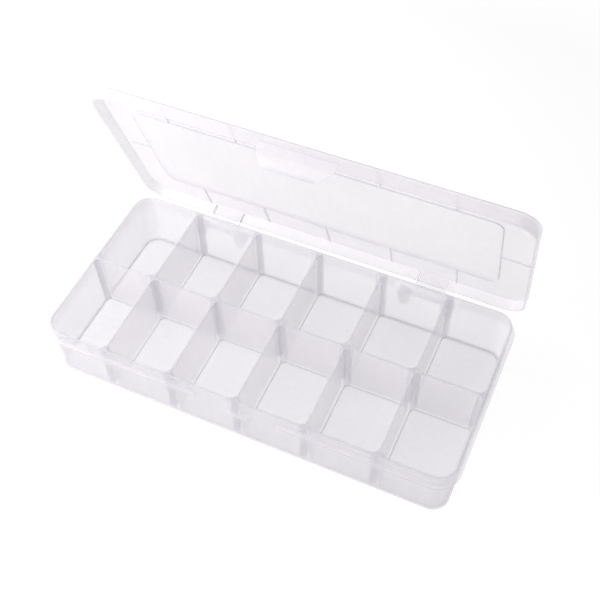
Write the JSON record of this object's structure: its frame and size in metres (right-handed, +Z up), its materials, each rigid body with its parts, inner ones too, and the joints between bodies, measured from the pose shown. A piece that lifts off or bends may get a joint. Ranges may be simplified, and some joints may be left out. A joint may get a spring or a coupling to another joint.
{
  "type": "compartment storage box",
  "caption": "Clear frosted plastic storage box with fixed full-height compartments and one hinged snap lid, for beads and small craft parts; shown with the lid open.",
  "frame": {"origin": "centre of the tray's underside, which rests on the table", "axes": "+X along the length to the right as seen from the latch, +Y towards the hinges at the back, +Z up"},
  "size_m": [0.274, 0.1471, 0.1577],
  "materials": {
    "tray_plastic": "frosted clear polypropylene, natural",
    "lid_plastic": "frosted clear polypropylene, natural"
  },
  "bodies": {
    "tray": {"tray_shell": "tray_plastic", "long_divider": "tray_plastic", "front_divider_1": "tray_plastic", "front_divider_2": "tray_plastic", "front_divider_3": "tray_plastic", "front_divider_4": "tray_plastic", "front_divider_5": "tray_plastic", "rear_divider_1": "tray_plastic", "rear_divider_2": "tray_plastic", "rear_divider_3": "tray_plastic", "rear_divider_4": "tray_plastic", "rear_divider_5": "tray_plastic", "lid_ledge": "tray_plastic", "latch_catch": "tray_plastic", "left_hinge_cradles": "tray_plastic", "right_hinge_cradles": "tray_plastic"},
    "lid": {"lid_plate": "lid_plastic", "lid_skirt": "lid_plastic", "lid_ribs": "lid_plastic", "latch_tab": "lid_plastic", "left_hinge_tongue": "lid_plastic", "right_hinge_tongue": "lid_plastic", "left_hinge_pin": "lid_plastic", "right_hinge_pin": "lid_plastic"}
  },
  "joints": [
    {"name": "lid_hinge", "type": "hinge", "parent": "tray", "child": "lid", "pos_m": [0, 0.066, 0.028], "axis": [-1, 0, 0], "range_deg": [-71.5, 108.5]}
  ]
}
